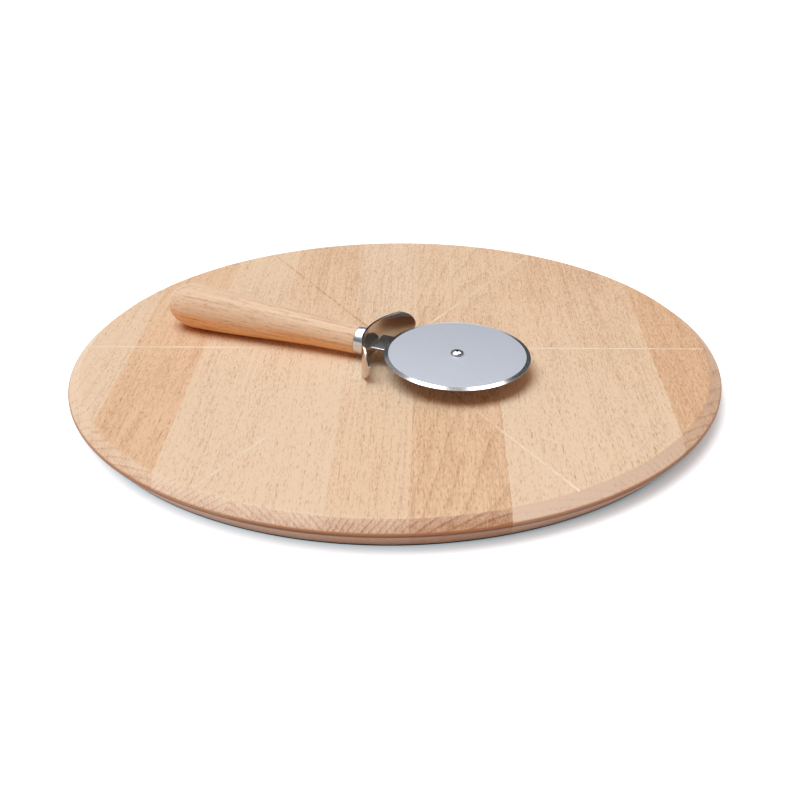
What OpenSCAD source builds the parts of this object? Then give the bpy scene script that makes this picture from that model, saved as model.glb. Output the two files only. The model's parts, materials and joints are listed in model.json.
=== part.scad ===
// Round beech pizza board, glued up from staves, with its wheel cutter lying on it.
// Millimetres. The origin is the middle of the board's underside, on the surface that it
// stands on. +Z is up, and the grain of the staves runs along Y.

/* [Board] */
// Diameter over the rim
board_d = 320; // [240:5:400]
// Finished thickness
board_t = 14; // [9:0.5:20]
// How far the top bevel runs in from the rim
bevel_run = 5.5; // [3:0.5:9]
// How far the top bevel drops to the rim
bevel_drop = 4.2; // [2:0.1:5]
// Height of the narrow rim between the two bevels
rim_h = 1.2; // [0.6:0.1:2]
// How far the lower bevel cuts back under the rim
under_run = 6.9; // [2:0.1:12]
// Length of the small softened chamfer on each worked edge
soften = 0.25; // [0.1:0.05:0.28]

/* [Staves] */
// Where the glue seams lie, left to right, as shares of the board's radius
seam_shares = [-0.822, -0.600, -0.381, -0.144, 0.063, 0.313, 0.575, 0.794];
// How much darker than the palest stave each one is, left to right
tone_shares = [0.00, 0.09, 0.01, 0.05, 0.00, 0.07, 0.02, 0.01, 0.10];

/* [Slice lines] */
// Number of slices that the scored lines mark
slices = 6; // [4:2:12]
// Width of a scored line at the surface
score_w = 1.4; // [1:0.1:3]
// Depth of a scored line
score_d = 0.6; // [0.4:0.1:1.5]

/* [Handle] */
// Length of the turned wood that shows behind the ferrule
handle_l = 108.5; // [80:0.5:140]
// Diameter where it is thickest, near the butt
handle_d = 23; // [18:0.5:30]
// Diameter at the ferrule, which is flush with it
neck_d = 14; // [11:0.5:17]
// Length of the rounded butt
butt_l = 16; // [8:1:24]

/* [Ferrule] */
// Length of the steel ring that shows
ferrule_l = 5.4; // [4:0.2:12]
// Wall of the ring
ferrule_wall = 0.8; // [0.5:0.1:1.5]

/* [Guard] */
// Radius that the strip is bent to, at the middle of its thickness
guard_r = 36.5; // [30:0.2:50]
// Width of the bent guard from tip to tip
guard_span = 55.4; // [44:0.2:58]
// Height of the strip, which its tips round off
guard_h = 16.2; // [12:0.2:24]
// How far the middle of the strip stands above the handle's axis
guard_up = 0.8; // [0:0.1:2]
// Thickness of the strip
guard_t = 1.2; // [0.8:0.1:2]

/* [Arm] */
// Width of the arm
arm_w = 15; // [10:0.5:18]
// Thickness of the arm
arm_t = 1.2; // [0.8:0.1:2]
// How far the arm is set up from its tang
joggle_rise = 1.2; // [0.4:0.1:2.5]
// Length over which it is set up
joggle_run = 3; // [2:0.1:5]
// Width of the tang, inside guard, ferrule and handle
tang_w = 7; // [5:0.5:9]
// Length of the tang behind the guard
tang_l = 42; // [25:1:60]

/* [Wheel] */
// Diameter of the cutting wheel
wheel_d = 70; // [50:1:76]
// Distance from the guard to the wheel's centre
wheel_reach = 45.9; // [44:0.1:60]
// Thickness of the wheel
wheel_t = 1.2; // [0.8:0.1:2]
// Width of the ground ring at its rim
grind_w = 2.1; // [1:0.1:4]
// Thickness left at the cutting edge
edge_t = 0.2; // [0.1:0.05:0.4]

/* [Rivet] */
// Diameter of the shank that the wheel turns on
shank_d = 4; // [3:0.2:5.6]
// Diameter of the domed head
head_d = 6.6; // [6:0.2:9]
// Height of the domed head
head_h = 1.6; // [1:0.1:3]
// Thickness of the spacer between arm and wheel
spacer_t = 0.8; // [0.5:0.1:2]
// Diameter of the spacer and of the washer under the arm
washer_d = 10; // [8:0.5:14]
// Thickness of the washer under the arm
washer_t = 0.8; // [0.5:0.1:2]
// Height of the clinched tail under that washer
tail_h = 1; // [0.5:0.1:2]

/* [Place on the board] */
// Guard's middle, to the right of the board's middle
place_x = -11.9; // [-30:0.1:30]
// Guard's middle, away from the front
place_y = -11.5; // [-30:0.1:30]
// Turn of the cutter, seen from above
lie_turn = -22; // [-60:0.5:60]
// Roll of the cutter about its handle
lie_roll = 1.7; // [0:0.1:2]

/* [Hidden] */
$fn = 96;
// Clearance under the cutter, between it and the board
lie_gap = 0.2;
// Clearance of a part that is slid or driven over another
fit_gap = 0.05;
// Radial clearance of the wheel on the rivet
spin_gap = 0.06;
// Clearance beside the wheel, under it and under the rivet's head
side_gap = 0.1;
// How far a cutting tool overruns what it cuts
over = 1;
// Rise of the handle's flare towards the butt: 1 is even, more is later
flare_power = 1.8;
// Stations along the flare and round the butt
flare_steps = 20;
butt_steps = 10;

board_r = board_d / 2;
bevel_foot = board_t - bevel_drop;
under_h = bevel_foot - rim_h;
seams = [for (share = seam_shares) share * board_r];
stave_edges = concat([-board_r], seams, [board_r]);
line_angle = 360 / slices;

neck_r = neck_d / 2;
butt_r = handle_d / 2;
flare_l = handle_l - butt_l;
neck_x = guard_t / 2 + ferrule_l;
tenon_r = neck_r - ferrule_wall - fit_gap;

// Height of the arm's middle, and then of each layer stacked on and under it
arm_n = joggle_rise;
spacer_n = arm_n + arm_t / 2;
wheel_n = spacer_n + spacer_t + side_gap + wheel_t / 2;
head_n = wheel_n + wheel_t / 2 + side_gap;
washer_n = arm_n - arm_t / 2 - washer_t;
tail_d = (shank_d + head_d) / 2;

// The arm's square shoulders stop where their corners meet the guard's hollow face
shoulder_x = guard_r - sqrt(pow(guard_r - guard_t / 2, 2) - pow(arm_w / 2, 2));

// The cutter lies on two supports: the guard's lower edge, where its straight part ends,
// and the swell of the handle. Its pitch is the slope of the line that touches both.
foot_s = (guard_span - guard_h) / 2;
foot_x = guard_r - sqrt(pow(guard_r + guard_t / 2, 2) - pow(foot_s, 2));
guard_low = guard_h / 2 - guard_up;
function handle_r(u) = neck_r + (butt_r - neck_r) * sin(90 * pow(u, flare_power));
function guard_depth(pitch) =
    guard_low * cos(pitch) * cos(lie_roll) + foot_x * sin(pitch) + foot_s * sin(lie_roll);
function front_depth(pitch) = max(neck_r, guard_depth(pitch));
function pitch_from(pitch) = max([for (i = [flare_steps / 4 : flare_steps])
    asin((handle_r(i / flare_steps) * cos(pitch) - front_depth(pitch))
         / (neck_x + flare_l * i / flare_steps))]);
lie_pitch = pitch_from(pitch_from(pitch_from(0)));
axis_z = board_t + lie_gap + front_depth(lie_pitch);

steel = [0.78, 0.78, 0.80];
beech = [0.91, 0.80, 0.68];
handle_beech = [0.86, 0.66, 0.48];

// Half section of the board, with a small chamfer in place of each sharp corner
module board_section() {
    rim_low = under_h;
    rim_top = bevel_foot;
    polygon([
        [0, 0],
        [board_r - under_run - soften, 0],
        [board_r - under_run + soften * under_run / under_h, soften],
        [board_r - soften * under_run / under_h, rim_low - soften],
        [board_r, rim_low + soften],
        [board_r, rim_top - soften],
        [board_r - soften, rim_top + soften * bevel_drop / bevel_run],
        [board_r - bevel_run + soften, board_t - soften * bevel_drop / bevel_run],
        [board_r - bevel_run - soften, board_t],
        [0, board_t]
    ]);
}

// One V cut right across the board, along X
module scored_line() {
    half_w = score_w / 2 * (1 + over / score_d);
    translate([-board_r, 0, board_t])
        rotate([90, 0, 90])
            linear_extrude(height = board_d)
                polygon([[0, -score_d], [half_w, over], [-half_w, over]]);
}

// One stave: the slab between two seams of the turned and scored disc
module stave(number) {
    left = stave_edges[number - 1];
    right = stave_edges[number];
    color(beech * (1 - tone_shares[number - 1]))
        difference() {
            intersection() {
                rotate_extrude($fn = 360) board_section();
                translate([left, -board_r, 0])
                    cube([right - left, board_d, board_t]);
            }
            for (line = [0 : slices / 2 - 1])
                rotate([0, 0, line * line_angle]) scored_line();
        }
}

// Puts a piece of the cutter where it lies: x forward along the handle's axis from the
// guard, y across it, z square to the wheel
module lying() {
    translate([place_x, place_y, axis_z])
        rotate([lie_roll, lie_pitch, lie_turn])
            children();
}

// A solid of revolution whose profile's second coordinate runs back from the guard
module turned_back() {
    rotate([0, -90, 0]) rotate_extrude() children();
}

// A flat bar along the tang, grown by a clearance on every side
module tang_bar(clearance) {
    translate([-tang_l - clearance, -tang_w / 2 - clearance, -arm_t / 2 - clearance])
        cube([tang_l + shoulder_x + clearance, tang_w + 2 * clearance, arm_t + 2 * clearance]);
}

// Turned beech handle: a tenon inside the ferrule, a flare, and an elliptical butt
module handle() {
    flare = [for (i = [0 : flare_steps])
        [handle_r(i / flare_steps), neck_x + flare_l * i / flare_steps]];
    butt = [for (i = [1 : butt_steps])
        [butt_r * cos(90 * i / butt_steps), neck_x + flare_l + butt_l * sin(90 * i / butt_steps)]];
    tenon = [[0, guard_t / 2 + ferrule_wall], [tenon_r, guard_t / 2 + ferrule_wall], [tenon_r, neck_x]];
    color(handle_beech)
        lying()
            difference() {
                turned_back() polygon(concat(tenon, flare, butt));
                tang_bar(fit_gap);
            }
}

// Polished steel cap over the tenon, with its closed face against the guard
module ferrule() {
    color(steel)
        lying()
            difference() {
                turned_back()
                    polygon([
                        [0, guard_t / 2],
                        [neck_r, guard_t / 2],
                        [neck_r, neck_x],
                        [neck_r - ferrule_wall, neck_x],
                        [neck_r - ferrule_wall, guard_t / 2 + ferrule_wall],
                        [0, guard_t / 2 + ferrule_wall]
                    ]);
                tang_bar(fit_gap);
            }
}

// Outline of the guard's strip, seen along the handle
module guard_outline() {
    translate([-foot_s, guard_up - guard_h / 2]) square([2 * foot_s, guard_h]);
    for (side = [-1, 1])
        translate([side * foot_s, guard_up]) circle(d = guard_h);
}

// Steel strip with rounded tips, bent forward round the wheel, and slotted for the tang
module guard() {
    color(steel)
        lying()
            difference() {
                intersection() {
                    translate([guard_r, 0, guard_up - guard_h / 2])
                        cylinder(h = guard_h, r = guard_r + guard_t / 2, $fn = 180);
                    translate([-guard_t, 0, 0])
                        rotate([90, 0, 90])
                            linear_extrude(height = guard_r) guard_outline();
                }
                translate([guard_r, 0, guard_up - guard_h / 2 - over])
                    cylinder(h = guard_h + 2 * over, r = guard_r - guard_t / 2, $fn = 180);
                tang_bar(fit_gap);
            }
}

// Side view of the arm and its tang: one strip, set up by a joggle in front of the guard
module arm_side() {
    joggle_x = shoulder_x + fit_gap;
    mitre = arm_t / 2 * tan(atan(joggle_rise / joggle_run) / 2);
    tip_x = wheel_reach + arm_w / 2;
    polygon([
        [-tang_l, arm_t / 2],
        [joggle_x - mitre, arm_t / 2],
        [joggle_x + joggle_run - mitre, arm_n + arm_t / 2],
        [tip_x, arm_n + arm_t / 2],
        [tip_x, arm_n - arm_t / 2],
        [joggle_x + joggle_run + mitre, arm_n - arm_t / 2],
        [joggle_x + mitre, -arm_t / 2],
        [-tang_l, -arm_t / 2]
    ]);
}

// Plan of the arm and its tang, with a round end about the rivet
module arm_plan() {
    translate([-tang_l, -tang_w / 2]) square([tang_l + wheel_reach, tang_w]);
    translate([shoulder_x + fit_gap, -arm_w / 2]) square([wheel_reach - shoulder_x - fit_gap, arm_w]);
    translate([wheel_reach, 0]) circle(d = arm_w);
}

// Single steel arm under the wheel, with its tang driven into the handle
module arm() {
    color(steel)
        lying()
            difference() {
                intersection() {
                    translate([0, arm_w / 2, 0])
                        rotate([90, 0, 0]) linear_extrude(height = arm_w) arm_side();
                    translate([0, 0, -arm_w]) linear_extrude(height = 2 * arm_w) arm_plan();
                }
                translate([wheel_reach, 0, washer_n])
                    cylinder(h = wheel_n - washer_n, d = shank_d + 2 * fit_gap);
            }
}

// A flat ring on the rivet, standing on a given height
module rivet_ring(height, thickness) {
    color(steel)
        lying()
            translate([wheel_reach, 0, height])
                difference() {
                    cylinder(h = thickness, d = washer_d);
                    translate([0, 0, -over])
                        cylinder(h = thickness + 2 * over, d = shank_d + 2 * fit_gap);
                }
}

// Round blade, ground from both faces to its edge
module wheel() {
    bore_r = shank_d / 2 + spin_gap;
    color([0.74, 0.75, 0.79])
        lying()
            translate([wheel_reach, 0, wheel_n])
                rotate_extrude($fn = 180)
                    polygon([
                        [bore_r, -wheel_t / 2],
                        [wheel_d / 2 - grind_w, -wheel_t / 2],
                        [wheel_d / 2, -edge_t / 2],
                        [wheel_d / 2, edge_t / 2],
                        [wheel_d / 2 - grind_w, wheel_t / 2],
                        [bore_r, wheel_t / 2]
                    ]);
}

// Cap of a sphere standing on z = 0, by its base diameter and height
module dome(base_d, height) {
    ball_r = (pow(base_d / 2, 2) + height * height) / (2 * height);
    intersection() {
        translate([0, 0, height - ball_r]) sphere(r = ball_r);
        cylinder(h = height + over, d = base_d + over);
    }
}

// Rivet that the wheel turns on: domed head above, shank, and clinched tail below
module rivet() {
    color(steel)
        lying()
            translate([wheel_reach, 0, 0]) {
                translate([0, 0, washer_n]) cylinder(h = head_n - washer_n, d = shank_d);
                translate([0, 0, head_n]) dome(head_d, head_h);
                translate([0, 0, washer_n]) mirror([0, 0, 1]) dome(tail_d, tail_h);
            }
}

stave(1);  // stave_1
stave(2);  // stave_2
stave(3);  // stave_3
stave(4);  // stave_4
stave(5);  // stave_5
stave(6);  // stave_6
stave(7);  // stave_7
stave(8);  // stave_8
stave(9);  // stave_9
handle();
ferrule();
guard();
arm();
rivet_ring(spacer_n, spacer_t);  // spacer
wheel();
rivet_ring(washer_n, washer_t);  // clinch_washer
rivet();
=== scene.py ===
import json
import math

import bpy
import numpy as np
from mathutils import Matrix, Vector


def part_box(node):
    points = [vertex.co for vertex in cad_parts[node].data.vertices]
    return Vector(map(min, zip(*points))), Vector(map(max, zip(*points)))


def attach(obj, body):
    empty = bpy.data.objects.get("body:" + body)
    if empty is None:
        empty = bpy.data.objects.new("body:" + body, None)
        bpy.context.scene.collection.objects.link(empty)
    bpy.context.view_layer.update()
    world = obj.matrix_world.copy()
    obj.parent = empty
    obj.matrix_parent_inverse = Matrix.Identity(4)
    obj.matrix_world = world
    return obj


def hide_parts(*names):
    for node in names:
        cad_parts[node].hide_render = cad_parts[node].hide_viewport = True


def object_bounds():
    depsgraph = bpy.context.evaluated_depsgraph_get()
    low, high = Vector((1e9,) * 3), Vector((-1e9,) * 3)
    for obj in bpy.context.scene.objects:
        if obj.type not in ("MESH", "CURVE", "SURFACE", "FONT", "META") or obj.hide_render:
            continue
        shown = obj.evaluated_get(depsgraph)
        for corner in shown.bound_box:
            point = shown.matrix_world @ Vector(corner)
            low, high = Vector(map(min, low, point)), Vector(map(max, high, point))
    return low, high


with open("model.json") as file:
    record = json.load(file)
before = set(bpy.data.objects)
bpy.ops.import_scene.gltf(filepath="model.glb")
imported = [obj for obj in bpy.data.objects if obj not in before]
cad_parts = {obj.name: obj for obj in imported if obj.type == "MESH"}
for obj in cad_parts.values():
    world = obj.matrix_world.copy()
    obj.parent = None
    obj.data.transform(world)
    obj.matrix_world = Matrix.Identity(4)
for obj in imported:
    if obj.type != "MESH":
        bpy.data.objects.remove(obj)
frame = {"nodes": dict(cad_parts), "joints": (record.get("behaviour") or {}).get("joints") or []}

cad_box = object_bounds()

# View and studio
# The camera looks down on the board from the front, as in the photograph. A broad lamp hangs
# overhead on the left and the room gives a soft warm fill. The steel sees a softbox high behind
# the board, a grey panel beside it, a low glow along the backdrop and a dim room elsewhere.
MM = 0.001
image_width = 800
focal_px = 1141.8
sensor_width = 36.0
near_clip = 0.01
view_distance = 581.11 * MM
view_pitch = math.radians(27.558)
view_turn = math.radians(-1.695)
view_roll = math.radians(-0.505)
origin_px = (394.99, 372.68)
white = (1, 1, 1, 1)


def stand_camera():
    """The camera looks along `ahead`, and its place puts the frame's origin at origin_px."""
    ahead = Vector((
        math.sin(view_turn) * math.cos(view_pitch),
        math.cos(view_turn) * math.cos(view_pitch),
        -math.sin(view_pitch),
    ))
    level = Vector((math.cos(view_turn), -math.sin(view_turn), 0))
    upright = level.cross(ahead)
    right = level * math.cos(view_roll) + upright * math.sin(view_roll)
    up = upright * math.cos(view_roll) - level * math.sin(view_roll)
    scale = view_distance / focal_px
    aside = (origin_px[0] - image_width / 2) * scale
    below = (origin_px[1] - image_width / 2) * scale
    place = -(ahead * view_distance + right * aside - up * below)
    data = bpy.data.cameras.new("view")
    data.sensor_width = sensor_width
    data.lens = focal_px / image_width * sensor_width
    data.clip_start = near_clip
    camera = bpy.data.objects.new("view", data)
    turned_to = Matrix((right, up, -ahead)).transposed()
    camera.matrix_world = Matrix.Translation(place) @ turned_to.to_4x4()
    bpy.context.scene.collection.objects.link(camera)
    bpy.context.scene.camera = camera


def part_of(tree, kind, sockets=(), **settings):
    """A shader node. Each socket, by name or number, gets a value or a link."""
    made = tree.nodes.new(kind)
    for name, value in settings.items():
        setattr(made, name, value)
    for name, value in dict(sockets).items():
        if isinstance(value, bpy.types.NodeSocket):
            tree.links.new(value, made.inputs[name])
        else:
            made.inputs[name].default_value = value
    return made


def calc(tree, operation, *values):
    """The result of one sum on numbers or sockets."""
    return part_of(tree, "ShaderNodeMath", enumerate(values), operation=operation).outputs[0]


def axes_of(tree, vector):
    """The x, y and z of a vector socket."""
    return part_of(tree, "ShaderNodeSeparateXYZ", {0: vector}).outputs


def blend_colour(tree, share, first, second):
    """Mixes two colours: share 0 gives the first and 1 the second."""
    sockets = {0: share, 6: first, 7: second}
    return part_of(tree, "ShaderNodeMix", sockets, data_type="RGBA").outputs[2]


def ramp(tree, value, low, high, start=0.0, end=1.0):
    """A smooth step of value from low to high, running from start to end. A `fade` in this
    script is such a low and high."""
    sockets = {"Value": value, "From Min": low, "From Max": high, "To Min": start, "To Max": end}
    return part_of(tree, "ShaderNodeMapRange", sockets, interpolation_type="SMOOTHSTEP").outputs[0]


def new_material(name):
    """A material with nodes, and its node tree."""
    made = bpy.data.materials.new(name)
    made.use_nodes = True
    return made, made.node_tree


def light_room(fill, fill_colour, box, panel, glow, dim):
    """The room gives matt surfaces the even `fill`, and the camera sees it white. The steel
    sees it `dim`, with a round softbox high behind the board, as bright as `box` and split by
    a dark strip, a grey `panel` to the left of it, and a `glow` low along the backdrop."""
    box_way = Vector((0.045, 0.39, 0.92)).normalized()
    box_fade = (math.cos(math.radians(22.5)), math.cos(math.radians(17.5)))
    strip_middle = 0.045
    strip_fade = (0.045, 0.10)
    strip_light = 0.08
    glow_fade = (0.24, 0.06)
    panel_side_fade = (-0.09, -0.13)
    panel_foot_fade = (0.46, 0.54)
    world = bpy.data.worlds.new("room")
    bpy.context.scene.world = world
    world.use_nodes = True
    tree = world.node_tree
    tree.nodes.clear()
    ray = part_of(tree, "ShaderNodeLightPath").outputs
    way = part_of(tree, "ShaderNodeTexCoord").outputs["Generated"]
    axes = axes_of(tree, way)
    box_near = part_of(tree, "ShaderNodeVectorMath", {0: way, 1: box_way}, operation="DOT_PRODUCT")
    softbox = ramp(tree, box_near.outputs["Value"], *box_fade, dim, box)
    off_strip = calc(tree, "ABSOLUTE", calc(tree, "ADD", axes[0], -strip_middle))
    bright = calc(tree, "MULTIPLY", softbox, ramp(tree, off_strip, *strip_fade, strip_light, 1))
    beside = calc(tree, "MULTIPLY", ramp(tree, axes[0], *panel_side_fade),
                  ramp(tree, axes[2], *panel_foot_fade))
    bright = calc(tree, "MAXIMUM", bright, calc(tree, "MULTIPLY", beside, panel))
    low = calc(tree, "MULTIPLY", ramp(tree, axes[2], *glow_fade), glow)
    bright = calc(tree, "MAXIMUM", bright, low)
    shown = calc(tree, "MAXIMUM", calc(tree, "MULTIPLY", ray["Is Glossy Ray"], bright),
                 ray["Is Camera Ray"])
    direct = calc(tree, "MAXIMUM", ray["Is Camera Ray"], ray["Is Glossy Ray"])
    strength = calc(tree, "MAXIMUM", shown, calc(tree, "MULTIPLY_ADD", direct, -fill, fill))
    colour = blend_colour(tree, direct, fill_colour, white)
    lit = part_of(tree, "ShaderNodeBackground", {"Color": colour, "Strength": strength})
    part_of(tree, "ShaderNodeOutputWorld", {"Surface": lit.outputs[0]})


def hang_lamp(strength, colour, spread, tilt_x, tilt_y):
    """A sun lamp as broad as a round softbox, leaning to the left."""
    data = bpy.data.lights.new("softbox", "SUN")
    data.energy = strength
    data.color = colour
    data.angle = spread
    lamp = bpy.data.objects.new("softbox", data)
    lamp.rotation_euler = (tilt_x, tilt_y, 0)
    bpy.context.scene.collection.objects.link(lamp)


def lay_floor(size, colour, lift, shaded_lift):
    """A pale sheet on z = 0, which the camera and the steel see brighter by `lift`, and by `shaded_lift`
    close to the board's foot on the right and in front: a painted shadow where the board stands in the
    way of the lamp."""
    board_edge = cad_box[1][0]
    shade_middle = (8 * MM, 0, 0)
    shade_fade = (board_edge - 14 * MM, board_edge - 0.5 * MM)
    half = size / 2
    mesh = bpy.data.meshes.new("floor")
    corners = [(-half, -half, 0), (half, -half, 0), (half, half, 0), (-half, half, 0)]
    mesh.from_pydata(corners, [], [(0, 1, 2, 3)])
    floor = bpy.data.objects.new("floor", mesh)
    bpy.context.scene.collection.objects.link(floor)
    paper, tree = new_material("paper")
    tree.nodes.clear()
    ray = part_of(tree, "ShaderNodeLightPath").outputs
    direct = calc(tree, "MAXIMUM", ray["Is Camera Ray"], ray["Is Glossy Ray"])
    matt = part_of(tree, "ShaderNodeBsdfDiffuse", {"Color": colour})
    spot = part_of(tree, "ShaderNodeTexCoord").outputs["Object"]
    reach = part_of(tree, "ShaderNodeVectorMath", {0: spot, 1: shade_middle}, operation="DISTANCE")
    out_of_shade = ramp(tree, reach.outputs["Value"], *shade_fade)
    seen = blend_colour(tree, out_of_shade, shaded_lift, lift)
    glow = part_of(tree, "ShaderNodeEmission", {"Color": seen, "Strength": direct})
    both = part_of(tree, "ShaderNodeAddShader", {0: matt.outputs[0], 1: glow.outputs[0]})
    part_of(tree, "ShaderNodeOutputMaterial", {"Surface": both.outputs[0]})
    mesh.materials.append(paper)


stand_camera()
light_room(fill=0.36, fill_colour=(1, 0.50, 0.26, 1), box=5.0, panel=0.3, glow=0.8, dim=0.10)
hang_lamp(strength=2.39, colour=(0.83, 0.97, 1), spread=math.radians(48), tilt_x=math.radians(2),
          tilt_y=math.radians(-18))
lay_floor(size=12.0, colour=(0.92, 0.84, 0.83, 1), lift=(0.46, 0.58, 0.64, 1),
          shaded_lift=(0.13, 0.22, 0.25, 1))
bpy.context.scene.view_settings.view_transform = "Standard"


# Staves
# Nine beech staves, planed and edge glued with the grain along Y, then turned to a disc and
# sanded. The face shows long soft growth lines and short dark ray flecks; the bevels cut the
# grain across and show the growth rings.
def paint(red, green, blue):
    """A colour given as it looks on screen, 0 to 255, as the shader's linear values, by the
    curve that screens follow."""
    parts = np.array([red, green, blue]) / 255
    linear = np.where(parts > 0.04045, ((parts + 0.055) / 1.055) ** 2.4, parts / 12.92)
    return (*linear.tolist(), 1)


board_radius = cad_box[1][0]
board_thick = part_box("stave_5")[1].z
bevel_run = 5.5 * MM
bevel_drop = 4.2 * MM
face_radius = board_radius - bevel_run
rim_top = board_thick - bevel_drop
beech_light = paint(243, 223, 199)
beech_warm = paint(236, 191, 149)
beech_deep = paint(176, 122, 82)
beech_end = paint(242, 218, 194)
beech_end_deep = paint(168, 106, 66)
fresh_cut = paint(250, 234, 216)
# The bevel's paler colour: partly the stave's own wood and partly painted light.
pale_lit_colour = paint(240, 222, 214)
# Painted shade for the downward faces under the rim.
under_shade_grey = paint(166, 126, 100)
foot_pale = paint(244, 212, 184)
rim_tan = paint(180, 124, 84)
# Painted shade colour for the scored lines.
score_shade_brown = paint(206, 150, 104)
rim_brown = paint(112, 70, 42)
timber_step = (0.37, 0.53, 0.11)
ring_wander = 6 * MM
wood_relief = 0.1 * MM
bevel_fade = (face_radius - 0.8 * MM, face_radius + 1.2 * MM)
groove_slope_fade = (0.97, 0.85)
groove_reach_fade = (face_radius - 0.1 * MM, face_radius - 0.4 * MM)
warm_fade = (-0.6 * board_radius, 0.6 * board_radius)
late_wood_fade = (0.55, 0.92)
pore_fade = (0.50, 0.64)
fibre_fade = (0.2, 0.8)


def placed(tree, coords, shift=(0, 0, 0), turn=(0, 0, 0), scale=(1, 1, 1)):
    """Coordinates scaled, turned and shifted."""
    sockets = {"Vector": coords, "Location": shift, "Rotation": turn, "Scale": scale}
    return part_of(tree, "ShaderNodeMapping", sockets).outputs[0]


def cloud(tree, coords, scale, detail=2.0, rough=0.5, shift=(0, 0, 0)):
    """Soft noise, 0 to 1, with this scale of clouds to the metre along x, y and z."""
    coords = placed(tree, coords, shift=shift, scale=scale)
    sockets = {"Vector": coords, "Scale": 1.0, "Detail": detail, "Roughness": rough}
    return part_of(tree, "ShaderNodeTexNoise", sockets).outputs["Fac"]


def layered(tree, base, *layers):
    """The base plus each layer times its share."""
    for layer, share in layers:
        base = calc(tree, "MULTIPLY_ADD", layer, share, base)
    return base


def stirred(tree, base, *clouds):
    """The base, lifted and lowered by each cloud, counted from its middle, times its share."""
    return layered(tree, base, *((calc(tree, "ADD", noise, -0.5), share) for noise, share in clouds))


def flecks(tree, grain, width, length, fill, present, shift):
    """Ray flecks: spindles along the grain, at most one in each cell of width by length. The
    share `present` of the cells has one, and `fill` sets its size. The result is 1 in a fleck."""
    smallest = 0.5 * fill
    size_spread = 0.7 * fill
    edge_fade = (0.55, 1.0)
    cells = placed(tree, grain, shift=shift, scale=(1 / width, 1 / length, 1 / width))
    spots = part_of(tree, "ShaderNodeTexVoronoi", {"Vector": cells, "Scale": 1.0})
    draw = part_of(tree, "ShaderNodeSeparateColor", {0: spots.outputs["Color"]}).outputs
    size = calc(tree, "MULTIPLY_ADD", draw[1], size_spread, smallest)
    from_middle = calc(tree, "DIVIDE", spots.outputs["Distance"], size)
    there = calc(tree, "LESS_THAN", draw[0], present)
    return calc(tree, "MULTIPLY", ramp(tree, from_middle, *edge_fade, 1.0, 0.0), there)


def open_pores(tree, grain):
    """Fine short pores along the grain. The result is 1 in a pore."""
    noise = cloud(tree, grain, (1700, 300, 1700), shift=(3.1, 1.7, 2.3))
    return ramp(tree, noise, *pore_fade)


def growth(tree, grain, pith, spacing, lean, wander):
    """Growth rings about a pith line beside or under the stave: the ring's age, 0 to 1, from
    the distance to the pith, which drifts along the grain by `lean` and by soft noise."""
    fine_share = 0.12
    drift = cloud(tree, grain, (16, 5, 16), detail=3.0)
    fine = cloud(tree, grain, (90, 22, 90))
    axes = axes_of(tree, grain)
    across = calc(tree, "ADD", axes[0], -pith[0])
    deep = calc(tree, "ADD", axes[2], -pith[1])
    reach = calc(tree, "SQRT", calc(tree, "ADD", calc(tree, "MULTIPLY", across, across),
                                    calc(tree, "MULTIPLY", deep, deep)))
    reach = layered(tree, reach, (axes[1], lean), (drift, wander), (fine, wander * fine_share))
    return calc(tree, "FRACT", calc(tree, "DIVIDE", reach, spacing))


def bevel_colour(tree, depth, place, facing, radius, pale_and_lit):
    """The bevel's cut ends, deeper where the fibres end in it, partly as end grain and partly as painted
    shade on the bevels facing front and back, and in front also out towards the rim as painted shade.
    The last argument makes them paler, partly as the stave's own paler bevel and partly as painted
    light."""
    end_grain_shade_fade = (0.44, 0.60)
    outward_shade_fade = (face_radius, board_radius - 0.5 * MM)
    upward_fade = (0.0, 0.3)
    front_fade = (-0.3 * board_radius, -0.9 * board_radius)
    # End grain, and painted shade, on the bevels facing front and back.
    end_grain_and_shade = ramp(tree, calc(tree, "ABSOLUTE", facing[1]), *end_grain_shade_fade)
    depth = layered(tree, depth, (end_grain_and_shade, 0.34 - pale_and_lit))
    depth = calc(tree, "ADD", depth, -0.5 * pale_and_lit)
    # Painted shade on the front bevel, deepest out towards the rim.
    outward_shade = ramp(tree, radius, *outward_shade_fade)
    outward_shade = calc(tree, "MULTIPLY", outward_shade, ramp(tree, facing[2], *upward_fade))
    front_shade = ramp(tree, place[1], *front_fade)
    depth = layered(tree, depth, (calc(tree, "MULTIPLY", outward_shade, front_shade), 0.24))
    colour = blend_colour(tree, depth, beech_end, beech_end_deep)
    return blend_colour(tree, pale_and_lit, colour, pale_lit_colour)


def score_look(tree, place, radius, chips):
    """How far the scored lines show, broken up by `chips`, and their colour. They are browner with
    painted shade at the back left and, as the wheel's painted shadow, at the front right. They are
    painted dimmer at the back and, most beside the wheel, at the front right."""
    back_fade = (2 * MM, 6 * MM)
    front_fade = (-2 * MM, -6 * MM)
    right_fade = (-2 * MM, 2 * MM)
    left_fade = (2 * MM, -2 * MM)
    wheel_shadow_fade = (85 * MM, 60 * MM)
    groove_dimming_fade = (100 * MM, 130 * MM)
    chips_fade = (1.30, 1.70)
    back = ramp(tree, place[1], *back_fade)
    front_right = calc(tree, "MULTIPLY", ramp(tree, place[1], *front_fade),
                       ramp(tree, place[0], *right_fade))
    # Painted shade in the lines: the wheel's shadow at the front right and shade at the back left.
    groove_shade = calc(tree, "MULTIPLY", front_right, ramp(tree, radius, *wheel_shadow_fade))
    groove_shade = layered(tree, groove_shade, (back, ramp(tree, place[0], *left_fade)))
    # Painted dimming of the lines at the back and at the front right.
    groove_dimming = calc(tree, "MULTIPLY", front_right, ramp(tree, radius, *groove_dimming_fade, 0.32, 0.12))
    groove_dimming = layered(tree, groove_dimming, (back, 0.10))
    shown = calc(tree, "SUBTRACT", ramp(tree, chips, *chips_fade, 0.22, 1.0), groove_dimming)
    return shown, blend_colour(tree, groove_shade, fresh_cut, score_shade_brown)


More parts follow.
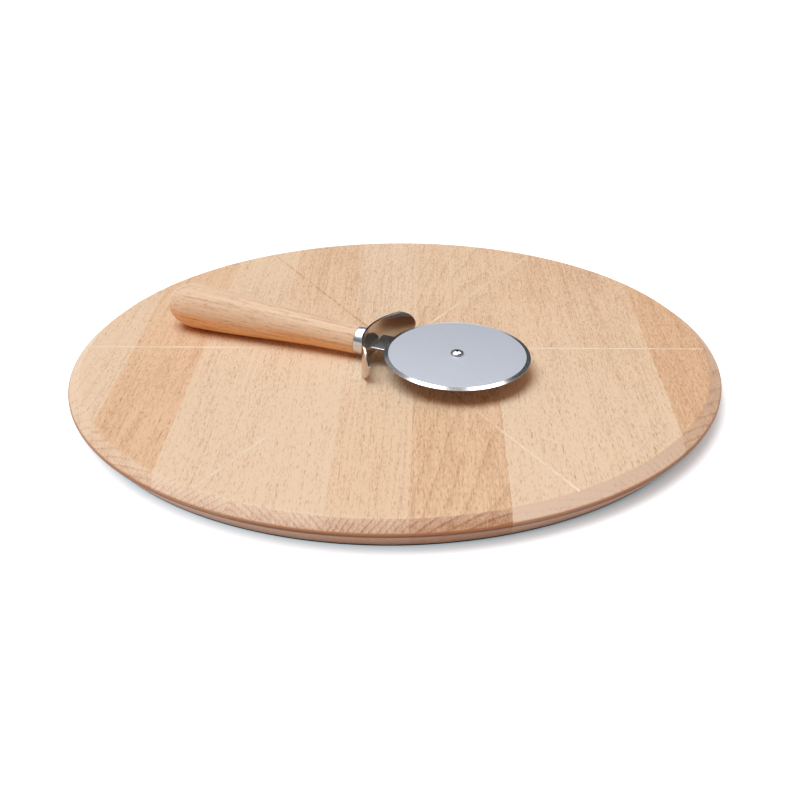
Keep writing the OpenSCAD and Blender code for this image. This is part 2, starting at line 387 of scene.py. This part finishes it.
def foot_and_rim(tree, colour, place, facing, radius, broad):
    """Greys the lower bevel with painted shade and pales its foot, then browns the rim, most in its
    lower part and unevenly with the cloud `broad`."""
    downward_fade = (-0.15, -0.45)
    foot_fade = (1.6 * MM, 0.2 * MM)
    rim_fade = (board_radius - 1.3 * MM, board_radius - 0.1 * MM)
    low_rim_fade = (rim_top, rim_top - 1.1 * MM)
    broad_fade = (0.25, 0.75)
    # Painted shade: the downward faces of the lower bevel turn grey.
    below = ramp(tree, facing[2], *downward_fade)
    colour = blend_colour(tree, calc(tree, "MULTIPLY", below, 0.7), colour, under_shade_grey)
    foot = calc(tree, "MULTIPLY", below, ramp(tree, place[2], *foot_fade, 0.0, 0.8))
    colour = blend_colour(tree, foot, colour, foot_pale)
    near_rim = calc(tree, "POWER", ramp(tree, radius, *rim_fade), 3.0)
    rim_colour = blend_colour(tree, ramp(tree, place[2], *low_rim_fade), rim_tan, rim_brown)
    browned = calc(tree, "MULTIPLY", near_rim, ramp(tree, broad, *broad_fade, 0.95, 0.75))
    return blend_colour(tree, browned, colour, rim_colour)


def bumped(tree, height, strength, distance):
    """The shading normal of a relief with this height."""
    sockets = {"Height": height, "Strength": strength, "Distance": distance}
    return part_of(tree, "ShaderNodeBump", sockets).outputs[0]


def finish_wood(tree, colour, normal, fibre, rough, specular):
    """Gives a wood shader its colour and relief, and a roughness that follows the fibre."""
    shader = tree.nodes["Principled BSDF"]
    tree.links.new(colour, shader.inputs["Base Color"])
    tree.links.new(normal, shader.inputs["Normal"])
    tree.links.new(ramp(tree, fibre, *fibre_fade, *rough), shader.inputs["Roughness"])
    shader.inputs["Specular IOR Level"].default_value = specular


def beech_stave(number, tone, far_tone_and_shade, warmth, pith, spacing, lean, figure, speckle, pale_and_lit=0.0):
    """Beech of one stave. `tone` darkens its near end and the far tone its far end, partly as the
    stave's own tone and partly as painted shade, darker towards the far end on most staves, and the two
    values of `warmth` turn these ends to orange. `pith`, `spacing` and `lean` place its growth rings,
    `figure` sets how much they show and `speckle` its flecks, and the last argument makes its bevel
    paler, partly as its own paler wood and partly as painted light."""
    wood, tree = new_material(f"beech_stave_{number}")
    source = part_of(tree, "ShaderNodeTexCoord").outputs
    place = axes_of(tree, source["Object"])
    facing = axes_of(tree, source["Normal"])
    flat = part_of(tree, "ShaderNodeCombineXYZ", {0: place[0], 1: place[1]}).outputs[0]
    radius = part_of(tree, "ShaderNodeVectorMath", {0: flat}, operation="LENGTH").outputs["Value"]
    scored = calc(tree, "MULTIPLY", ramp(tree, facing[2], *groove_slope_fade),
                  ramp(tree, radius, *groove_reach_fade))
    bevelled = ramp(tree, radius, *bevel_fade)

    # The wood's own pattern, taken from another place in the timber for each stave.
    cut_from = tuple(number * step for step in timber_step)
    grain = placed(tree, source["Object"], shift=cut_from)
    own_pith = (pith[0] + cut_from[0], pith[1] + cut_from[2])
    age = growth(tree, grain, own_pith, spacing, lean, ring_wander)
    fibre = cloud(tree, grain, (1900, 190, 1900), detail=3.0, rough=0.7)
    vein = cloud(tree, grain, (1000, 22, 1000))
    streak = cloud(tree, grain, (220, 7, 220), detail=3.0)
    patch = cloud(tree, grain, (38, 16, 38), detail=3.0, rough=0.6)
    broad = cloud(tree, grain, (14, 5, 14))
    long_fleck = flecks(tree, grain, width=1.4 * MM, length=12 * MM, fill=0.28, present=speckle,
                        shift=(0.3, 0.1, 0.7))
    short_fleck = flecks(tree, grain, width=0.9 * MM, length=6.5 * MM, fill=0.30, present=speckle,
                         shift=(4.1, 2.7, 1.9))
    pale_fleck = flecks(tree, grain, width=1.1 * MM, length=8 * MM, fill=0.34, present=speckle,
                        shift=(7.7, 5.3, 2.2))
    marks = layered(tree, 0.0, (long_fleck, 0.30), (short_fleck, 0.26),
                    (open_pores(tree, grain), 0.28), (pale_fleck, -0.14))

    # How deep its tone is: its own tone and painted shade along the stave, rings, the rings' dark lines
    # on the bevel, clouds and marks.
    along = ramp(tree, place[1], -board_radius, board_radius, tone, far_tone_and_shade)
    late_wood = calc(tree, "MULTIPLY", ramp(tree, age, *late_wood_fade), bevelled)
    depth = layered(tree, along, (calc(tree, "POWER", age, 5.0), 0.15 * figure), (late_wood, 0.14))
    depth = stirred(tree, depth, (fibre, 1.15), (vein, 0.62), (streak, 0.40), (patch, 0.24),
                    (broad, 0.26))
    on_face = calc(tree, "MULTIPLY_ADD", bevelled, -0.80, 1.0)
    depth = layered(tree, depth, (marks, on_face))

    # Its colour: the face, and over it the bevel, the scored lines, the foot and the rim.
    warm = ramp(tree, place[1], *warm_fade, *warmth)
    light = blend_colour(tree, warm, beech_light, beech_warm)
    colour = blend_colour(tree, depth, light, beech_deep)
    cut = bevel_colour(tree, depth, place, facing, radius, pale_and_lit)
    colour = blend_colour(tree, calc(tree, "MULTIPLY", bevelled, 0.85), colour, cut)
    chips = calc(tree, "ADD", calc(tree, "ADD", patch, vein), fibre)
    shown, score_colour = score_look(tree, place, radius, chips)
    colour = blend_colour(tree, calc(tree, "MULTIPLY", scored, shown), colour, score_colour)
    colour = foot_and_rim(tree, colour, place, facing, radius, broad)

    # Its relief, evened out in the scored lines.
    relief = layered(tree, 0.0, (marks, -1.2), (fibre, 0.5))
    bump = bumped(tree, relief, strength=0.25, distance=wood_relief)
    evened = {0: calc(tree, "MULTIPLY", scored, 0.7), 4: bump, 5: (0, 0, 1)}
    normal = part_of(tree, "ShaderNodeMix", evened, data_type="VECTOR").outputs[1]
    finish_wood(tree, colour, normal, fibre, rough=(0.42, 0.58), specular=0.4)
    return wood


# Each stave as the photograph shows it, left to right. The pith is given across and down from
# the middle of the stave's face, and like the spacing in millimetres.
# The last value of some staves pales their bevel, partly as their own paler wood and partly as painted
# light, most on the seventh and eighth, whose bevels the lamp on the left leaves in shade.
stave_looks = [
    dict(tone=-0.09, far_tone_and_shade=-0.02, warmth=(0.15, 0.2), pith=(50, -60), spacing=1.7, lean=0.010,
         figure=0.7, speckle=0.50),
    dict(tone=0.00, far_tone_and_shade=0.08, warmth=(0.6, 0.5), pith=(25, -110), spacing=1.9, lean=0.030,
         figure=0.8, speckle=0.95),
    dict(tone=-0.09, far_tone_and_shade=0.00, warmth=(0.15, 0.2), pith=(50, -70), spacing=1.6, lean=0.008,
         figure=0.9, speckle=0.60, pale_and_lit=0.10),
    dict(tone=-0.10, far_tone_and_shade=0.10, warmth=(0.15, 0.35), pith=(-45, -80), spacing=1.7, lean=0.012,
         figure=0.9, speckle=0.80, pale_and_lit=0.03),
    dict(tone=-0.03, far_tone_and_shade=0.05, warmth=(0.3, 0.1), pith=(60, -60), spacing=1.8, lean=0.010,
         figure=1.2, speckle=0.55),
    dict(tone=0.15, far_tone_and_shade=-0.01, warmth=(0.5, 0.25), pith=(26, -70), spacing=2.4, lean=0.060,
         figure=1.6, speckle=0.55),
    dict(tone=-0.06, far_tone_and_shade=0.07, warmth=(0.15, 0.35), pith=(-20, -150), spacing=1.8, lean=0.010,
         figure=0.6, speckle=0.80, pale_and_lit=0.39),
    dict(tone=-0.04, far_tone_and_shade=0.24, warmth=(0.2, 0.3), pith=(-60, -60), spacing=1.6, lean=0.010,
         figure=0.8, speckle=0.70, pale_and_lit=0.31),
    dict(tone=0.22, far_tone_and_shade=0.20, warmth=(0.65, 0.6), pith=(-30, -80), spacing=1.9, lean=0.020,
         figure=0.8, speckle=0.85, pale_and_lit=0.05),
]
for number, look in enumerate(stave_looks, start=1):
    low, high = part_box(f"stave_{number}")
    middle = (low.x + high.x) / 2
    look["pith"] = (middle + look["pith"][0] * MM, look["pith"][1] * MM)
    look["spacing"] *= MM
    stave = frame["nodes"][f"stave_{number}"]
    stave.data.materials.clear()
    stave.data.materials.append(beech_stave(number, **look))


# How the cutter lies
# The wheel's axle gives the cutter's tilt, and the turn of its handle the rest: x runs
# forward from the guard along the handle, y across it, and z square to the wheel.
handle_turn = math.radians(-22)
wheel_reach = 45.9 * MM
wheel_height = 3.3 * MM
axle = next(joint for joint in frame["joints"] if joint["name"] == "wheel_spin")
square = Vector(axle["axis"]).normalized()
forward = Vector((math.cos(handle_turn), math.sin(handle_turn), 0))
forward.z = -(forward.x * square.x + forward.y * square.y) / square.z
forward.normalize()
sideways = square.cross(forward)
guard_middle = Vector(axle["pos_m"]) - forward * wheel_reach - square * wheel_height
lying = Matrix.Translation(guard_middle) @ Matrix((forward, sideways, square)).transposed().to_4x4()
at_axle = lying @ Matrix.Translation((wheel_reach, 0, 0))
facing_back = lying @ Matrix.Rotation(math.radians(-90), 4, "Y")


# Wheel
# A disc of stainless sheet with a satin face, ground from both sides to its cutting edge.
# It turns freely on the rivet.
wheel_radius = 35 * MM
wheel_thick = 1.2 * MM
bore_radius = 2.06 * MM
grind_width = 2.1 * MM
edge_thick = 0.2 * MM
wheel_easing = 0.06 * MM
grind_blur = 0.02 * MM
stone_marks = 5000.0
steel_relief = 0.02 * MM
satin_grey = paint(206, 207, 217)
ground_grey = paint(225, 226, 229)
bright_grey = paint(222, 222, 226)
tiny = 1e-9
nearly_straight = math.radians(84)
corner_share = 0.45


def own_frame(tree):
    """The cutter's own coordinates: x forward, y across and z square to the wheel."""
    coords = part_of(tree, "ShaderNodeTexCoord").outputs["Object"]
    sockets = {"Vector": coords, "Location": guard_middle, "Rotation": lying.to_euler()}
    return part_of(tree, "ShaderNodeMapping", sockets, vector_type="TEXTURE").outputs[0]


def finished(name, points, faces, stance, material, body, node, crease):
    """Puts a mesh in its place as one piece that replaces a node, smooth up to an angle of
    `crease` degrees."""
    mesh = bpy.data.meshes.new(name)
    mesh.from_pydata(points, [], faces)
    mesh.transform(stance)
    mesh.validate()
    mesh.shade_smooth()
    mesh.set_sharp_from_angle(angle=math.radians(crease))
    mesh.materials.append(material)
    piece = bpy.data.objects.new(name, mesh)
    bpy.context.scene.collection.objects.link(piece)
    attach(piece, body)
    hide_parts(node)


def eased(outline, radius, steps=4):
    """Rounds each corner of an outline with an arc of this radius that touches both sides, or
    less where its sides are short. Points on the axis, and where the outline runs nearly
    straight on, stay as they are."""
    points = [np.array(p, float) for p in outline]
    rounded = []
    for index, corner in enumerate(points):
        before = points[index - 1] - corner
        after = points[(index + 1) % len(points)] - corner
        on_axis = abs(corner[0]) < tiny
        reach = [np.linalg.norm(before), np.linalg.norm(after)]
        if on_axis or min(reach) < tiny:
            rounded.append(corner)
            continue
        u, v = before / reach[0], after / reach[1]
        half = math.acos(float(np.clip(u @ v, -1, 1))) / 2
        if half > nearly_straight:
            rounded.append(corner)
            continue
        trim = min(radius / math.tan(half), corner_share * min(reach))
        arc = trim * math.tan(half)
        centre = corner + (u + v) / np.linalg.norm(u + v) * arc / math.sin(half)
        first = corner + u * trim - centre
        last = corner + v * trim - centre
        sweep = math.pi - 2 * half
        turn = sweep * np.sign(first[0] * last[1] - first[1] * last[0])
        for angle in np.linspace(0, turn, steps + 1):
            c, s = math.cos(angle), math.sin(angle)
            rounded.append(centre + np.array([c * first[0] - s * first[1], s * first[0] + c * first[1]]))
    return np.array(rounded)


def turned(outline, segments):
    """A surface of revolution: each point of the outline, a radius and a height, goes round
    the axis at radius times the cosine and the sine of the angle. The outline is listed from
    the lower end outwards and up. If it starts and ends on the axis it closes in a fan at each
    pole, and any other closes as a ring."""
    outline = np.asarray(outline, float)
    poles = abs(outline[0, 0]) < tiny and abs(outline[-1, 0]) < tiny
    rings = outline[1:-1] if poles else outline
    count = len(rings)
    angle = np.linspace(0, 2 * math.pi, segments, endpoint=False)
    radius = rings[:, 0][:, None]
    points = np.stack([radius * np.cos(angle), radius * np.sin(angle),
                       np.repeat(rings[:, 1][:, None], segments, axis=1)], axis=-1).reshape(-1, 3)
    row = np.arange(count - 1 if poles else count)[:, None]
    column = np.arange(segments)[None, :]
    above, beside = (row + 1) % count, (column + 1) % segments
    quads = np.stack([row * segments + column, row * segments + beside,
                      above * segments + beside, above * segments + column], axis=-1)
    faces = quads.reshape(-1, 4).tolist()
    if poles:
        bottom, top = len(points), len(points) + 1
        points = np.vstack([points, [0, 0, outline[0, 1]], [0, 0, outline[-1, 1]]])
        around = np.arange(segments)
        after = (around + 1) % segments
        faces += np.stack([np.full(segments, bottom), after, around], axis=-1).tolist()
        last = (count - 1) * segments
        faces += np.stack([np.full(segments, top), last + around, last + after], axis=-1).tolist()
    return points.tolist(), faces


def steel(name, colour, roughness, spread, stretch, scratch):
    """Stainless steel: roughness varies by `spread` in fine scratches, which `stretch` draws
    out along the handle. `scratch` sets how strong their relief is."""
    metal, tree = new_material(name)
    shader = tree.nodes["Principled BSDF"]
    shader.inputs["Metallic"].default_value = 1.0
    coords = own_frame(tree)
    lines = cloud(tree, coords, (900 / stretch, 900, 900), detail=3.0, rough=0.6)
    smudge = cloud(tree, coords, (60, 60, 60), detail=3.0)
    rough = stirred(tree, roughness, (lines, spread), (smudge, spread * 0.6))
    tint = blend_colour(tree, lines, tuple(0.98 * c for c in colour[:3]) + (1,), colour)
    tree.links.new(tint, shader.inputs["Base Color"])
    tree.links.new(rough, shader.inputs["Roughness"])
    tree.links.new(bumped(tree, lines, scratch, steel_relief), shader.inputs["Normal"])
    return metal


def grind(metal, colour, roughness, spread):
    """Brightens the ring outside the satin face: beyond its inner edge the steel takes this
    colour and roughness, which varies by `spread` in fine rings left by the stone."""
    tree = metal.node_tree
    shader = tree.nodes["Principled BSDF"]
    place = axes_of(tree, own_frame(tree))
    ahead = calc(tree, "ADD", place[0], -wheel_reach)
    apart = calc(tree, "MULTIPLY_ADD", ahead, ahead, calc(tree, "MULTIPLY", place[1], place[1]))
    radius = calc(tree, "SQRT", apart)
    inner = wheel_radius - grind_width
    ring = ramp(tree, radius, inner - grind_blur, inner + grind_blur)
    stone = {"W": radius, "Scale": stone_marks}
    stone = part_of(tree, "ShaderNodeTexNoise", stone, noise_dimensions="1D").outputs["Fac"]
    rough = calc(tree, "MULTIPLY_ADD", stone, spread, roughness - spread / 2)
    satin_colour = shader.inputs["Base Color"].links[0].from_socket
    satin_rough = shader.inputs["Roughness"].links[0].from_socket
    mixed_colour = blend_colour(tree, ring, satin_colour, colour)
    mixed_rough = part_of(tree, "ShaderNodeMix", {0: ring, 2: satin_rough, 3: rough}).outputs[0]
    tree.links.new(mixed_colour, shader.inputs["Base Color"])
    tree.links.new(mixed_rough, shader.inputs["Roughness"])


blade_steel = steel("blade_steel", satin_grey, roughness=0.48, spread=0.04, stretch=1, scratch=0.01)
grind(blade_steel, ground_grey, roughness=0.12, spread=0.08)
bright_steel = steel("bright_steel", bright_grey, roughness=0.18, spread=0.02, stretch=4,
                     scratch=0.002)
wheel_outline = eased([
    (bore_radius, wheel_height - wheel_thick / 2),
    (wheel_radius - grind_width, wheel_height - wheel_thick / 2),
    (wheel_radius, wheel_height - edge_thick / 2),
    (wheel_radius, wheel_height + edge_thick / 2),
    (wheel_radius - grind_width, wheel_height + wheel_thick / 2),
    (bore_radius, wheel_height + wheel_thick / 2),
], wheel_easing)
finished("cutting_wheel", *turned(wheel_outline, segments=256), at_axle, blade_steel, "blade",
         "wheel", crease=4)


# Rivet, spacer and washer
# A domed rivet is the wheel's axle. It passes a spacer, the arm and a washer, and its tail
# is clinched over below.
shank_radius = 2.0 * MM
head_radius = 3.3 * MM
head_height = 1.6 * MM
head_foot = 4.0 * MM
head_rim = 0.3 * MM
head_easing = 0.15 * MM
tail_radius = 2.65 * MM
tail_height = 1.0 * MM
washer_radius = 5.0 * MM
washer_play = 0.05 * MM
washer_easing = 0.15 * MM
washer_thick = 0.8 * MM
washer_foot = -0.2 * MM
spacer_foot = 1.8 * MM
spacer_thick = 0.8 * MM


def cap(radius, height, steps=14):
    """Points of a round cap from its rim to its pole: radius times the cosine, height times
    the sine, of an even sweep. The pole lies on the axis."""
    sweep = np.linspace(0, math.pi / 2, steps)
    points = np.stack([radius * np.cos(sweep), height * np.sin(sweep)], axis=-1)
    points[-1, 0] = 0
    return points


def washer(name, foot, thick, node):
    """A flat ring with eased corners."""
    hole = shank_radius + washer_play
    ring = [(hole, foot), (washer_radius, foot), (washer_radius, foot + thick), (hole, foot + thick)]
    finished(name, *turned(eased(ring, washer_easing), segments=96), at_axle, bright_steel, "cutter",
             node, crease=35)


tail = cap(tail_radius, tail_height)[::-1] * (1, -1) + (0, washer_foot)
shank = [(shank_radius, washer_foot), (shank_radius, head_foot), (head_radius - head_easing, head_foot)]
head = cap(head_radius, head_height - head_rim) + (0, head_foot + head_rim)
finished("axle_rivet", *turned(np.vstack([tail, shank, head]), segments=96), at_axle, bright_steel,
         "cutter", "rivet", crease=40)
washer("spacer_washer", spacer_foot, spacer_thick, "spacer")
washer("clinch_washer_ring", washer_foot, washer_thick, "clinch_washer")


# Guard
# A strip of polished sheet with rounded tips, bent forward around the wheel so that fingers
# stay behind it.
guard_radius = 36.5 * MM
guard_half_span = 27.7 * MM
guard_half_height = 8.1 * MM
guard_rise = 0.8 * MM
guard_thick = 1.2 * MM
guard_easing = 0.25 * MM
bend_stations = 22
tip_sweep = math.pi / 2 * 0.995
# The guard's steel is tinted warm: a painted reflection of the brown board in shade that it mirrors.
guard_reflection_tint = paint(205, 190, 178)


def lofted(sections):
    """A skin over closed sections of equal count, given as an array of section by point by
    xyz, with a flat cap on the first and the last."""
    count, around, _ = sections.shape
    row = np.arange(count - 1)[:, None]
    column = np.arange(around)[None, :]
    beside = (column + 1) % around
    quads = np.stack([row * around + column, row * around + beside,
                      (row + 1) * around + beside, (row + 1) * around + column], axis=-1)
    faces = quads.reshape(-1, 4).tolist()
    faces.append(list(range(around))[::-1])
    faces.append([(count - 1) * around + i for i in range(around)])
    return sections.reshape(-1, 3).tolist(), faces


def strip_section(half_width, half_thick, easing, steps=5):
    """Rounded rectangles, one for each half width: (section, point, across and through)."""
    sweep = np.linspace(0, math.pi / 2, steps)
    corner = np.stack([np.cos(sweep), np.sin(sweep)], axis=-1)
    widths = np.asarray(half_width)[:, None]
    widest_ease = 0.98
    ease = np.minimum(easing, widths * widest_ease)
    rings = []
    for quarter, (sx, sy) in enumerate(((1, 1), (-1, 1), (-1, -1), (1, -1))):
        c, s = math.cos(quarter * math.pi / 2), math.sin(quarter * math.pi / 2)
        x = corner[:, 0] * c - corner[:, 1] * s
        y = corner[:, 0] * s + corner[:, 1] * c
        across = sx * (widths - ease) + ease * x
        through = sy * (half_thick - easing) + easing * y + 0 * widths
        rings.append(np.stack([across, through], axis=-1))
    return np.concatenate(rings, axis=1)


def tip_stations(half_width, steps=18):
    """Distances into a round tip, closer together towards its end: half width times the sine
    of an even sweep that stops just short of a quarter turn."""
    return half_width * np.sin(np.linspace(0, tip_sweep, steps))[1:]


def tip_width(past, half_width):
    """Half width of a strip at a distance past the start of its round tip: a circle's half
    chord there, and the full half width before it."""
    share = np.clip(past, 0, None) / half_width
    return half_width * np.sqrt(np.clip(1 - share ** 2, 0, 1))


def bent_guard():
    """Sections across the strip, at stations round the bend. Beyond the straight part the
    half height follows the circle of the tip. A point lies at the bend's radius plus its
    place through the sheet, turned by the station's angle."""
    straight = guard_half_span - guard_half_height
    side = np.concatenate([np.linspace(0, straight, bend_stations),
                           straight + tip_stations(guard_half_height)])
    across = np.concatenate([-side[:0:-1], side])
    tall = tip_width(np.abs(across) - straight, guard_half_height)
    section = strip_section(tall, guard_thick / 2, guard_easing)
    angle = np.arcsin(across / guard_radius)[:, None]
    out = guard_radius + section[..., 1]
    x = guard_radius - out * np.cos(angle)
    y = out * np.sin(angle)
    z = guard_rise + section[..., 0]
    return lofted(np.stack([x, y, z], axis=-1)[:, ::-1])


guard_steel_warm_reflection = steel("guard_steel_warm_reflection", guard_reflection_tint, roughness=0.16, spread=0.02, stretch=4, scratch=0.002)
finished("finger_guard", *bent_guard(), lying, guard_steel_warm_reflection, "cutter", "guard", crease=35)


# Arm
# One strip of steel carries the wheel on its upper side. Its tang passes through the guard
# and the ferrule into the handle, and a joggle in front of the guard sets it up.
arm_half_width = 7.5 * MM
arm_thick = 1.2 * MM
arm_rise = 1.2 * MM
arm_easing = 0.2 * MM
joggle_length = 3.0 * MM
shoulder = 1.44 * MM
shoulder_step = 1e-6
tang_half_width = 3.5 * MM
tang_length = 42 * MM
joggle_stations = 14
straight_stations = 12


def joggled_arm():
    """Sections along the arm. The half width is the tang's, then the arm's, then that of the
    round end about the rivet; the height eases up through the joggle."""
    tang = [-tang_length, shoulder - shoulder_step]
    joggle = shoulder + np.linspace(0, joggle_length, joggle_stations)
    level = np.linspace(shoulder + joggle_length, wheel_reach, straight_stations)[1:]
    along = np.concatenate([tang, joggle, level, wheel_reach + tip_stations(arm_half_width)])
    wide = tip_width(along - wheel_reach, arm_half_width)
    wide[:len(tang)] = tang_half_width
    share = np.clip((along - shoulder) / joggle_length, 0, 1)
    height = arm_rise * (0.5 - 0.5 * np.cos(math.pi * share))
    section = strip_section(wide, arm_thick / 2, arm_easing)
    x = np.repeat(along[:, None], section.shape[1], axis=1)
    return lofted(np.stack([x, section[..., 0], height[:, None] + section[..., 1]], axis=-1))


finished("wheel_arm", *joggled_arm(), lying, bright_steel, "cutter", "arm", crease=35)


# Ferrule
# A short polished steel cap driven over the handle's tenon, with its closed face against
# the guard.
neck_radius = 7.0 * MM
ferrule_front = 0.6 * MM
ferrule_back = 6.0 * MM
ferrule_wall = 0.8 * MM
ferrule_easing = 0.3 * MM
ferrule_outline = eased([
    (0, ferrule_front + ferrule_wall),
    (0, ferrule_front),
    (neck_radius, ferrule_front),
    (neck_radius, ferrule_back),
    (neck_radius - ferrule_wall, ferrule_back),
    (neck_radius - ferrule_wall, ferrule_front + ferrule_wall),
], ferrule_easing)
ferrule_outline = np.roll(ferrule_outline, -1, axis=0)
ferrule_steel = steel("ferrule_steel", bright_grey, roughness=0.30, spread=0.04, stretch=4,
                      scratch=0.02)
finished("ferrule_cap", *turned(ferrule_outline, segments=128), facing_back, ferrule_steel, "cutter",
         "ferrule", crease=35)


# Handle
# Turned beech, swelling from the ferrule to a rounded butt, sanded and lacquered, and driven
# onto the arm's tang. Its grain runs along it, with ray flecks as on the board.
handle_length = 108.5 * MM
handle_radius = 11.5 * MM
butt_length = 16 * MM
flare_power = 1.8
flare_easing = 0.2 * MM
tenon_play = 0.05 * MM
flare_stations = 60
butt_stations = 30
vein_fade = (0.50, 0.66)
lower_shade_fade = (5 * MM, -6 * MM)
lower_shade_wander = 16 * MM
handle_pale = paint(241, 214, 187)
# Painted warm shade for the handle's lower side.
handle_shade_orange = paint(243, 186, 130)
handle_deep = paint(168, 102, 58)


def handle_outline():
    """Radius against distance behind the guard: a sine of a power of the distance up to the
    swell, and then a quarter ellipse to the butt."""
    share = np.linspace(0, 1, flare_stations)
    flare_length = handle_length - butt_length
    radius = neck_radius + (handle_radius - neck_radius) * np.sin(math.pi / 2 * share ** flare_power)
    flare = np.stack([radius, ferrule_back + flare_length * share], axis=-1)
    butt = cap(handle_radius, butt_length, butt_stations)[1:] + (0, ferrule_back + flare_length)
    tenon = neck_radius - ferrule_wall - tenon_play
    front = [(0, ferrule_front + ferrule_wall), (tenon, ferrule_front + ferrule_wall),
             (tenon, ferrule_back), (neck_radius - flare_easing, ferrule_back)]
    flare[0, 1] += flare_easing
    return np.vstack([front, flare, butt])


def handle_beech():
    """Beech with the grain along the handle, with painted warm shade towards its lower side, under a
    thin satin lacquer."""
    wood, tree = new_material("beech_handle")
    grain = placed(tree, own_frame(tree), turn=(0, 0, math.radians(90)))
    age = growth(tree, grain, pith=(30 * MM, -40 * MM), spacing=1.8 * MM, lean=0.03, wander=5 * MM)
    fibre = cloud(tree, grain, (1700, 150, 1700), detail=3.0, rough=0.65)
    vein = ramp(tree, cloud(tree, grain, (800, 22, 800)), *vein_fade)
    streak = cloud(tree, grain, (260, 12, 260), detail=3.0)
    broad = cloud(tree, grain, (30, 10, 30))
    long_fleck = flecks(tree, grain, width=1.3 * MM, length=7 * MM, fill=0.30, present=0.7,
                        shift=(0.3, 0.1, 0.7))
    short_fleck = flecks(tree, grain, width=0.9 * MM, length=4 * MM, fill=0.32, present=0.7,
                         shift=(4.1, 2.7, 1.9))
    marks = layered(tree, 0.0, (short_fleck, 0.16), (long_fleck, 0.30), (vein, 0.26),
                    (open_pores(tree, grain), 0.14))
    depth = layered(tree, -0.08, (calc(tree, "POWER", age, 6.0), 0.24))
    depth = stirred(tree, depth, (fibre, 0.34), (streak, 0.28), (broad, 0.20))
    depth = calc(tree, "ADD", depth, marks)
    # Painted warm shade on the handle's lower side, its edge wandering with the streaks.
    height = stirred(tree, axes_of(tree, grain)[2], (streak, lower_shade_wander))
    light = blend_colour(tree, ramp(tree, height, *lower_shade_fade), handle_pale, handle_shade_orange)
    colour = blend_colour(tree, depth, light, handle_deep)
    relief = layered(tree, 0.0, (marks, -1.0), (fibre, 0.4))
    bump = bumped(tree, relief, strength=0.2, distance=wood_relief)
    finish_wood(tree, colour, bump, fibre, rough=(0.36, 0.5), specular=0.2)
    return wood


finished("turned_handle", *turned(handle_outline(), segments=160), facing_back, handle_beech(),
         "cutter", "handle", crease=40)
